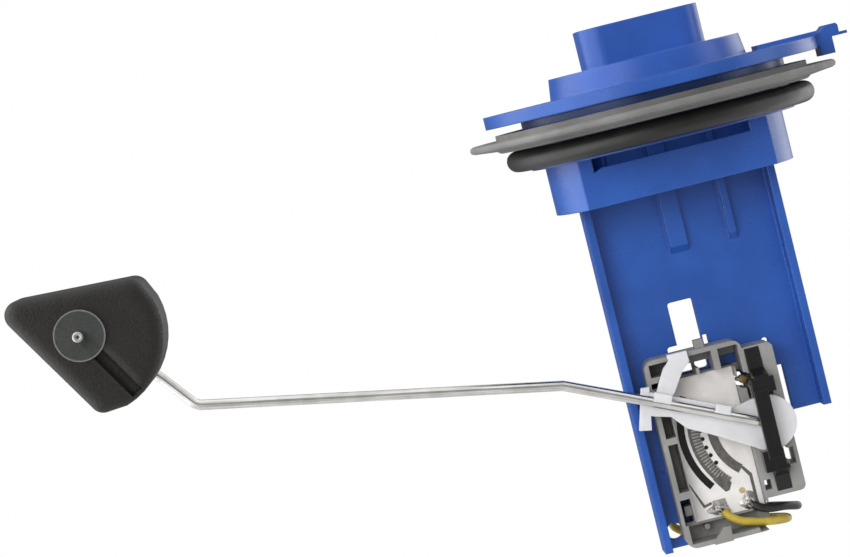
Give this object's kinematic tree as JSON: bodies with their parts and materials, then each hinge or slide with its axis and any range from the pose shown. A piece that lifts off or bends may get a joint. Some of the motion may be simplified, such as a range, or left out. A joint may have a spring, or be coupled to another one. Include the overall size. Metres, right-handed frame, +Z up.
{
  "type": "fuel level sender",
  "caption": "Tank flange with seals and a plate that carries a resistor card, a wiper and a bent float arm with a foam float.",
  "frame": {"origin": "centre of the flange on the sealing face under its disc", "axes": "+Z up out of the tank, -Y towards the card side, the float lies towards -X"},
  "size_m": [0.2067, 0.0892, 0.1256],
  "materials": {
    "flange_body": "blue acetal moulding, satin",
    "flange_gasket": "grey moulded rubber",
    "o_ring": "black rubber, slightly shiny",
    "card_housing": "grey acetal moulding",
    "resistor_card": "matte alumina",
    "resistor_track": "printed resistive ink",
    "contact_comb": "printed conductor",
    "return_track": "printed conductor",
    "brass_pin": "turned brass",
    "retaining_bridge": "black moulded plastic",
    "signal_solder": "bright solder",
    "ground_solder": "bright solder",
    "signal_lead": "yellow lead covering",
    "ground_lead": "black lead covering",
    "signal_terminal": "tinned brass",
    "ground_terminal": "tinned brass",
    "signal_ferrule": "tinned crimp",
    "ground_ferrule": "tinned crimp",
    "float_arm": "drawn stainless wire",
    "wiper_carrier": "natural white acetal",
    "wiper_contact": "spring alloy",
    "float_washer": "clear plastic",
    "float": "closed-cell nitrile foam"
  },
  "bodies": {
    "sender_base": {"flange_body": "flange_body", "flange_gasket": "flange_gasket", "o_ring": "o_ring", "card_housing": "card_housing", "resistor_card": "resistor_card", "resistor_track": "resistor_track", "contact_comb": "contact_comb", "return_track": "return_track", "brass_pin": "brass_pin", "retaining_bridge": "retaining_bridge", "signal_solder": "signal_solder", "ground_solder": "ground_solder", "signal_lead": "signal_lead", "ground_lead": "ground_lead", "signal_terminal": "signal_terminal", "ground_terminal": "ground_terminal", "signal_ferrule": "signal_ferrule", "ground_ferrule": "ground_ferrule"},
    "arm": {"float_arm": "float_arm", "wiper_carrier": "wiper_carrier", "wiper_contact": "wiper_contact", "float_washer": "float_washer"},
    "float_body": {"float": "float"}
  },
  "joints": [
    {"name": "arm_pivot", "type": "hinge", "parent": "sender_base", "child": "arm", "pos_m": [0.0072, -0.0056, -0.08279], "axis": [0, 1, 0], "range_deg": [-64, 2]},
    {"name": "float_swivel", "type": "hinge", "parent": "arm", "child": "float_body", "pos_m": [-0.1425, -0.026, -0.02239], "axis": [0, 1, 0], "continuous": true}
  ]
}
